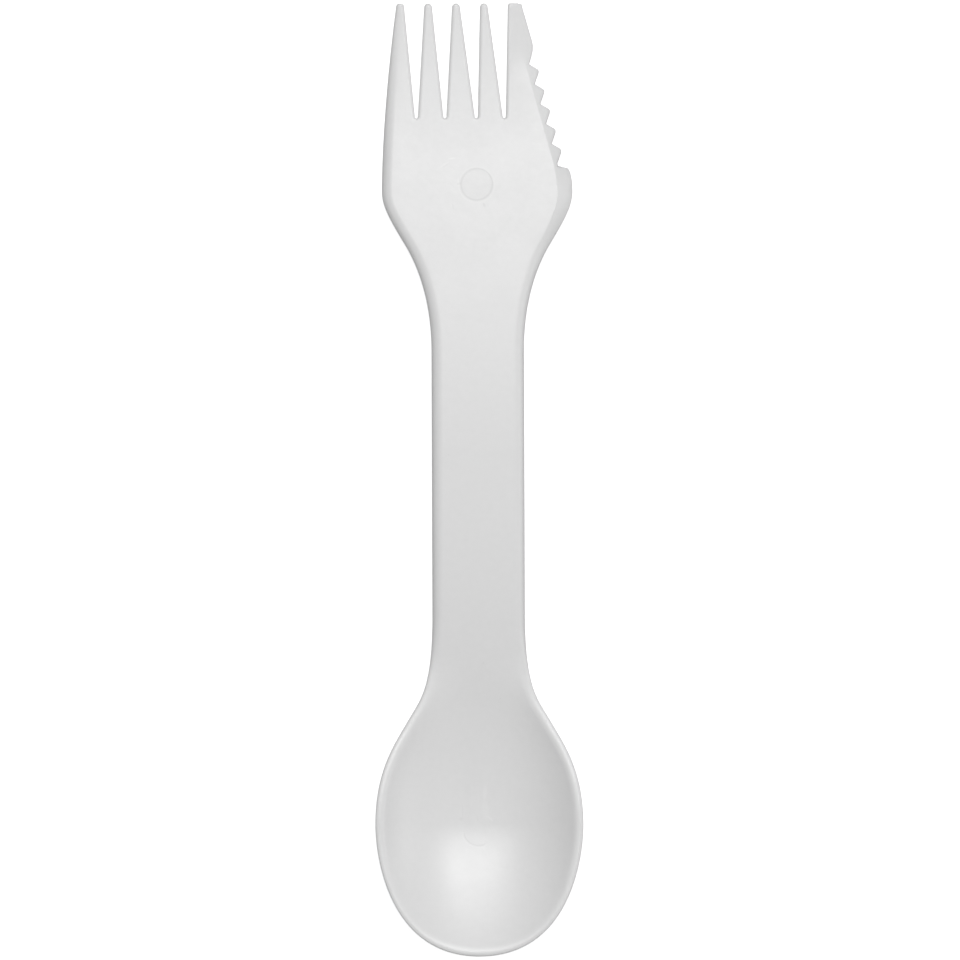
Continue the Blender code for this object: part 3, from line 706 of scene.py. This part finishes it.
def pin_marks(x, y):
    """Depth of the faint lines that the ejector pins left."""
    head = np.hypot(x - HEAD_PIN[0], y - HEAD_PIN[1]) - HEAD_PIN_RADIUS
    bowl = np.hypot(x - BOWL_PIN[0], y - BOWL_PIN[1]) - BOWL_PIN_RADIUS
    lower = eased(BOWL_PIN[1] - y + ARC_LEAN * (BOWL_PIN[0] - x), 0, ARC_FADE)
    return PIN_DEPTH * (np.exp(-(head / PIN_LINE) ** 2) + lower * np.exp(-(bowl / PIN_LINE) ** 2))


def on_teeth(x, y):
    """Whether a point lies on the toothed strip of the blade."""
    return (x > tooth_line(y) - BEVEL_WIDTH) & (y > HEEL_Y)


def upper_face(x, y, distance):
    """Height of the upper face, with the handle's fillets and the blade's bevel."""
    land = RIM_LAND + (TOE_LAND - RIM_LAND) * eased(y, BOWL_Y, TOE_Y)
    level = rim_height(y) - dished(x, y, hollow_depth(y), land)
    fillet = FILLET_DROP * eased(y, FILLET_START_Y, HANDLE_END_Y)
    left = fillet * (1 - np.clip((y - LEFT_FADE_START_Y) / LEFT_FADE_LENGTH, 0, 1))
    edge_thickness = BLADE_EDGE_THICKNESS + HEEL_BLUNTNESS * eased(y, BLUNT_START_Y, HEEL_Y)
    right = fillet + (thickness(y) - edge_thickness - fillet) * bevelled(y)
    drop = strip((x - left_edge(y)) * across(left_edge, y), FILLET_WIDTH, left, 0, CREASE)
    softness = CREASE * (1 + NOSE_SOFTNESS * eased(y, NOSE_SOFT_START_Y, NOSE_SOFT_END_Y)
                         + SHOULDER_SOFTNESS * eased(y, HEEL_Y, SHOULDER_SOFT_Y))
    inset = (crease_line(y) - x) * across(crease_line, y)
    bevel = strip(inset, right_width(y), right, bevelled(y), softness)
    plane = NOSE_SLOPE * (x - gap_sides(3, y)[1] - NOSE_PIVOT)
    on_blade = x > sum(gap_sides(3, y)) / 2
    drop += bevel + (plane - bevel) * np.where(on_blade, eased(y, NOSE_START_Y, NOSE_END_Y), 0)
    radius = RIM_ROUND + (HANDLE_ROUND - RIM_ROUND) * eased(y, NECK_Y, HANDLE_END_Y)
    edge = edge_round(distance, radius)
    edge += (worn_edge(distance, TINE_ROUND, TINE_EDGE_SLOPE) - edge) * eased(y, HEEL_Y, GAP_ROOT_Y)
    edge = np.where(on_teeth(x, y), worn_edge(distance, TOOTH_EDGE, TOOTH_EDGE_SLOPE), edge)
    return level - np.where(y > BOWL_Y, drop, 0) - edge - pin_marks(x, y)


def lower_face(x, y, distance):
    """Height of the underside, with a small flat under the bowl to rest on."""
    rise = eased(y, BACK_START_Y, HANDLE_END_Y)
    edge = np.minimum(thickness(y), RIM_THICKNESS + (HANDLE_THICKNESS - RIM_THICKNESS) * rise)
    depth = hollow_depth(y) + thickness(np.maximum(y, BOWL_Y)) - edge
    height = np.maximum(rim_height(y) - edge - dished(x, y, depth + REST_FLAT_DEPTH, 0), 0)
    radius = np.where(on_teeth(x, y), TOOTH_UNDERSIDE_ROUND, UNDERSIDE_ROUND)
    return height + edge_round(distance, radius)


points = np.zeros(3 * len(utensil.data.vertices))
utensil.data.vertices.foreach_get("co", points)
points = points.reshape(-1, 3)
to_edge = np.array([walls.find_nearest((x, y, -SHEET / 2))[3] for x, y, _ in points])
top = upper_face(points[:, 0], points[:, 1], to_edge)
bottom = lower_face(points[:, 0], points[:, 1], to_edge)
points[:, 2] = bottom + (top - bottom) * (1 + points[:, 2] / SHEET)
utensil.data.vertices.foreach_set("co", points.ravel())
bpy.ops.object.shade_smooth()
bpy.ops.object.modifier_add(type='WEIGHTED_NORMAL')
bpy.ops.object.modifier_apply(modifier="WeightedNormal")


# White polypropylene, straight from a mould with a fine satin finish: no paint and no print. Its skin
# is faintly mottled, with flow lines along the bowl and a few dark specks. The ejector pins' rings,
# the nicks and the scuffs get painted shade and painted highlight in the colour.

WHITE = 0.73
ROUGHNESS = 0.37
ROUGHNESS_CHANGE = 0.015
REFRACTION = 1.49
plastic = bpy.data.materials.new("white_plastic")
plastic.use_nodes = True
nodes = plastic.node_tree.nodes
links = plastic.node_tree.links
shader = nodes["Principled BSDF"]
shader.inputs["Roughness"].default_value = ROUGHNESS
shader.inputs["IOR"].default_value = REFRACTION


def placed(kind, values, **settings):
    """A new node's first output. Its inputs take numbers, vectors or the outputs of other nodes."""
    made = nodes.new(kind)
    for name, value in settings.items():
        setattr(made, name, value)
    for socket, value in values.items():
        if isinstance(value, bpy.types.NodeSocket):
            links.new(value, made.inputs[socket])
        else:
            made.inputs[socket].default_value = value
    return made.outputs[0]


def sums(operation, first, second=0.0):
    """A Math node on one or two values."""
    return placed("ShaderNodeMath", {0: first, 1: second}, operation=operation)


def added(total, layer, share):
    """A total with a share of one more layer added to it."""
    return placed("ShaderNodeMath", {0: layer, 1: share, 2: total}, operation='MULTIPLY_ADD')


def between(value, start, end, low=0.0, high=1.0):
    """A value eased from low, where it is start, to high, where it is end."""
    values = {"Value": value, "From Min": start, "From Max": end, "To Min": low, "To Max": high}
    return placed("ShaderNodeMapRange", values, interpolation_type='SMOOTHSTEP')


surface = nodes.new("ShaderNodeTexCoord").outputs["Object"]


def patch(centre, size, angle=0.0):
    """Distance from a spot on the utensil, 1 at the edge of an ellipse of that half size."""
    values = {"Vector": surface, "Location": (*centre, 0), "Rotation": (0, 0, angle)}
    values["Scale"] = (*size, 1)
    local = placed("ShaderNodeMapping", values, vector_type='TEXTURE')
    across_only = placed("ShaderNodeVectorMath", {0: local, 1: (1, 1, 0)}, operation='MULTIPLY')
    made = nodes.new("ShaderNodeVectorMath")
    made.operation = 'LENGTH'
    links.new(across_only, made.inputs[0])
    return made.outputs["Value"]


def ring(centre, radius, line):
    """1 on a fine circle, and 0 away from it."""
    off = sums('ABSOLUTE', sums('SUBTRACT', patch(centre, (1, 1)), radius))
    return between(off, line, 0)


def cloud(scale, stretch=(1, 1, 1), detail=2.0):
    """A mottle of the given fineness, stretched along the axes, around 0.5."""
    local = placed("ShaderNodeVectorMath", {0: surface, 1: stretch}, operation='MULTIPLY')
    return placed("ShaderNodeTexNoise", {"Vector": local, "Scale": scale, "Detail": detail})


# The pins' rings: painted shade along the groove with a painted highlight just outside it, and on
# the head a slightly greyer disc within. The bowl shows only the lower left of its ring, as an arc.
HALO_OFFSET = 0.0003
HALO_PAINTED_HIGHLIGHT = -0.02
HEAD_RING_LINE = 0.00037
HEAD_RING_PAINTED_SHADE = 0.075
HEAD_HALO_LINE = 0.00045
HEAD_DISC_GREY = 0.023
HEAD_DISC_FADE = (1.05, 0.95)
BOWL_RING_LINE = 0.00028
BOWL_RING_PAINTED_SHADE = 0.06
BOWL_HALO_LINE = 0.0003
BOWL_ARC = (BOWL_PIN[0] - 0.0010, BOWL_PIN[1] - 0.0022)
BOWL_ARC_REACH = 0.0026
BOWL_ARC_FADE = (1.0, 0.7)
BOWL_HALO_FADE = (1.1, 0.8)

head_ring_shade = ring(HEAD_PIN, HEAD_PIN_RADIUS, HEAD_RING_LINE)
head_halo_highlight = ring(HEAD_PIN, HEAD_PIN_RADIUS + HALO_OFFSET, HEAD_HALO_LINE)
head_halo_highlight = sums('SUBTRACT', head_halo_highlight, head_ring_shade)
head_disc = between(patch(HEAD_PIN, (HEAD_PIN_RADIUS, HEAD_PIN_RADIUS)), *HEAD_DISC_FADE)
bowl_arc = patch(BOWL_ARC, (BOWL_ARC_REACH, BOWL_ARC_REACH))
bowl_ring_shade = ring(BOWL_PIN, BOWL_PIN_RADIUS, BOWL_RING_LINE)
bowl_ring_shade = sums('MULTIPLY', bowl_ring_shade, between(bowl_arc, *BOWL_ARC_FADE))
bowl_halo_highlight = ring(BOWL_PIN, BOWL_PIN_RADIUS + HALO_OFFSET, BOWL_HALO_LINE)
bowl_halo_highlight = sums('MULTIPLY', bowl_halo_highlight, between(bowl_arc, *BOWL_HALO_FADE))

# The rings' painted shade and their halos' painted highlight go into the colour first.
grey = sums('MULTIPLY', head_ring_shade, HEAD_RING_PAINTED_SHADE)
grey = added(grey, head_disc, HEAD_DISC_GREY)
grey = added(grey, head_halo_highlight, HALO_PAINTED_HIGHLIGHT)
grey = added(grey, bowl_ring_shade, BOWL_RING_PAINTED_SHADE)
grey = added(grey, bowl_halo_highlight, HALO_PAINTED_HIGHLIGHT)

# Small marks of the mould and of handling: place, half size, turn, and the grey that each adds. A
# pale one is below zero.
MARKS = (
    # Nicks at the head's ring: painted shade in them, and on one a painted highlight along its edge.
    ((-0.0033, 0.0527), (0.00036, 0.00020), 0.35, 0.05),
    ((-0.0033, 0.0535), (0.00018, 0.00042), 0, -0.025),
    ((0.0012, 0.0489), (0.00020, 0.00036), 0.45, 0.06),
    # Scuffs on the head: pale and dark strokes side by side, painted highlight and painted shade.
    ((-0.0058, 0.0563), (0.0008, 0.00018), 0.58, -0.03),
    ((-0.0056, 0.0560), (0.0008, 0.00015), 0.58, 0.025),
    ((-0.0044, 0.0574), (0.00065, 0.00016), 0.14, -0.025),
    ((-0.0044, 0.0487), (0.00015, 0.00055), 0.1, 0.018),
    # Dark specks on the handle and the neck.
    ((-0.0053, 0.0044), (0.00013, 0.00013), 0, 0.05),
    ((-0.0070, 0.0013), (0.00012, 0.00012), 0, 0.04),
    ((0.0008, -0.0327), (0.00013, 0.00013), 0, 0.05),
    ((0.0038, -0.0391), (0.00012, 0.00012), 0, 0.04),
    # Flow marks in the bowl.
    ((0.00101, -0.0558), (0.00032, 0.00135), 0, -0.04),
    ((0.00106, -0.0590), (0.00055, 0.0018), 0, -0.028),
    ((0.00207, -0.0605), (0.00062, 0.00017), -0.78, -0.04),
    ((-0.00337, -0.06058), (0.00032, 0.00027), 0, 0.035),
    ((-0.00306, -0.0593), (0.00016, 0.0011), 0, 0.022),
    ((-0.0004, -0.0605), (0.00018, 0.0006), 0, 0.015),
)
MARK_FADE = (1.6, 0.4)
dents = 0.0
# The nicks' and scuffs' painted shade and painted highlight go into the colour here, with the specks
# and flow marks.
for centre, size, angle, mark_grey in MARKS:
    mark = between(patch(centre, size, angle), *MARK_FADE)
    grey = added(grey, mark, mark_grey)
    dents = sums('ADD', dents, mark)

# The skin: a fine mottle, a little stronger on the head, and fine flow lines in the bowl.
MOTTLE_SCALE = 900
MOTTLE_GREY = 0.04
HEAD_MOTTLE_GREY = 0.06
HEAD_CENTRE = (0, 0.0555)
HEAD_AREA = (0.016, 0.018)
HEAD_FADE = (1.1, 0.7)
FLOW_SCALE = 1500
FLOW_STRETCH = (1, 0.06, 1)
FLOW_GREY = 0.03
FLOW_CENTRE = (0, BOWL_Y + 0.004)
FLOW_AREA = (0.008, 0.012)
FLOW_FADE = (1.0, 0.3)

mottle = sums('SUBTRACT', cloud(MOTTLE_SCALE), 0.5)
head_area = patch(HEAD_CENTRE, HEAD_AREA)
grey = added(grey, mottle, between(head_area, *HEAD_FADE, MOTTLE_GREY, HEAD_MOTTLE_GREY))
flow = sums('SUBTRACT', cloud(FLOW_SCALE, FLOW_STRETCH), 0.5)
flow = sums('MULTIPLY', flow, between(patch(FLOW_CENTRE, FLOW_AREA), *FLOW_FADE))
grey = added(grey, flow, FLOW_GREY)
tone = sums('MULTIPLY', sums('SUBTRACT', 1, grey), WHITE)
links.new(tone, shader.inputs["Base Color"])

# The satin is a little uneven, and the face has a fine grain, faint waves and the marks' dents.
SATIN_SCALE = 160
SATIN_DETAIL = 3.0
SATIN_RANGE = (0.3, 0.7)
GRAIN_SCALE = 6000
GRAIN_HEIGHT = 0.05
WAVE_SCALE = 500
WAVE_HEIGHT = 0.9
DENT_HEIGHT = -0.3
RELIEF_STRENGTH = 0.5
RELIEF_DISTANCE = 0.00004

satin = between(cloud(SATIN_SCALE, detail=SATIN_DETAIL), *SATIN_RANGE,
                ROUGHNESS - ROUGHNESS_CHANGE, ROUGHNESS + ROUGHNESS_CHANGE)
links.new(satin, shader.inputs["Roughness"])
relief = sums('MULTIPLY', cloud(GRAIN_SCALE), GRAIN_HEIGHT)
relief = added(relief, dents, DENT_HEIGHT)
relief = added(relief, cloud(WAVE_SCALE), WAVE_HEIGHT)
bump = nodes.new("ShaderNodeBump")
bump.inputs["Strength"].default_value = RELIEF_STRENGTH
bump.inputs["Distance"].default_value = RELIEF_DISTANCE
links.new(relief, bump.inputs["Height"])
links.new(bump.outputs["Normal"], shader.inputs["Normal"])

utensil.data.materials.clear()
utensil.data.materials.append(plastic)
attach(utensil, "root")
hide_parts("spoon_fork_knife")


# Ground: a large matt pale sheet that the utensil lies on. For the camera alone it also glows, so
# that it looks white and only the deepest of the utensil's shadow shows on it.

GROUND_SIZE = 8
GROUND_GREY = 0.60
GROUND_GLOW = 0.82
bpy.ops.object.select_all(action='DESELECT')
bpy.ops.mesh.primitive_plane_add(size=GROUND_SIZE, location=(0, 0, 0))
floor = bpy.context.object
floor.name = "floor"
ground = bpy.data.materials.new("ground")
ground.use_nodes = True
ground_nodes = ground.node_tree.nodes
ground_shader = ground_nodes["Principled BSDF"]
ground_shader.inputs["Base Color"].default_value = (GROUND_GREY, GROUND_GREY, GROUND_GREY, 1)
ground_shader.inputs["Roughness"].default_value = 1.0
ground_shader.inputs["Emission Color"].default_value = (1, 1, 1, 1)
ground_path = ground_nodes.new("ShaderNodeLightPath")
glow = ground_nodes.new("ShaderNodeMath")
glow.operation = 'MULTIPLY'
glow.inputs[1].default_value = GROUND_GLOW
ground.node_tree.links.new(ground_path.outputs["Is Camera Ray"], glow.inputs[0])
ground.node_tree.links.new(glow.outputs[0], ground_shader.inputs["Emission Strength"])
floor.data.materials.append(ground)


# Light: a large soft lamp above, beyond the fork's tips, a weaker one low on the blade's side, and an
# even sky that is a little dimmer near the horizon. Behind everything the sky is white.

LAMP_DISTANCE = 3.0
LAMPS = (
    # Name, way to the lamp, width as a share of its distance, and strength.
    ("soft_lamp", (0.06, 0.385, 1.0), 0.32, 5.15),
    ("side_lamp", (0.80, 0.10, 0.60), 0.50, 1.25),
)
SKY_HORIZON = 0.27
SKY_TOP = 0.415

for name, way, width, power in LAMPS:
    lamp_data = bpy.data.lights.new(name, 'AREA')
    lamp_data.shape = 'DISK'
    lamp_data.size = width * LAMP_DISTANCE
    lamp_data.energy = power * LAMP_DISTANCE ** 2
    lamp = bpy.data.objects.new(name, lamp_data)
    bpy.context.scene.collection.objects.link(lamp)
    lamp.location = np.array(way) / np.linalg.norm(way) * LAMP_DISTANCE
    lamp.rotation_euler = lamp.location.to_track_quat('Z', 'Y').to_euler()

world = bpy.data.worlds.new("sky")
bpy.context.scene.world = world
world.use_nodes = True
sky_nodes = world.node_tree.nodes
sky_links = world.node_tree.links
sky_way = sky_nodes.new("ShaderNodeTexCoord")
sky_height = sky_nodes.new("ShaderNodeSeparateXYZ")
sky_level = sky_nodes.new("ShaderNodeMapRange")
sky_level.inputs["To Min"].default_value = SKY_HORIZON
sky_level.inputs["To Max"].default_value = SKY_TOP
sky_path = sky_nodes.new("ShaderNodeLightPath")
sky_strength = sky_nodes.new("ShaderNodeMix")
sky_strength.inputs["B"].default_value = 1.0
sky_links.new(sky_way.outputs["Generated"], sky_height.inputs["Vector"])
sky_links.new(sky_height.outputs["Z"], sky_level.inputs["Value"])
sky_links.new(sky_level.outputs["Result"], sky_strength.inputs["A"])
sky_links.new(sky_path.outputs["Is Camera Ray"], sky_strength.inputs["Factor"])
sky_links.new(sky_strength.outputs["Result"], sky_nodes["Background"].inputs["Strength"])
sky_nodes["Background"].inputs["Color"].default_value = (1, 1, 1, 1)


# Camera: straight above, far away with a long lens, and turned a hair, so that the utensil stands as
# it does in the picture.

CAMERA_DISTANCE = 4.0
CAMERA_CENTRE = (0.000318, -0.000075)
CAMERA_TURN = -0.0035
VIEW_WIDTH = 0.17120
SENSOR_WIDTH = 36
camera_data = bpy.data.cameras.new("camera")
camera_data.sensor_width = SENSOR_WIDTH
camera_data.lens = SENSOR_WIDTH * CAMERA_DISTANCE / VIEW_WIDTH
camera = bpy.data.objects.new("camera", camera_data)
bpy.context.scene.collection.objects.link(camera)
camera.location = (*CAMERA_CENTRE, CAMERA_DISTANCE + high.z / 2)
camera.rotation_euler = (0, 0, CAMERA_TURN)
bpy.context.scene.camera = camera
bpy.context.scene.view_settings.view_transform = 'Standard'
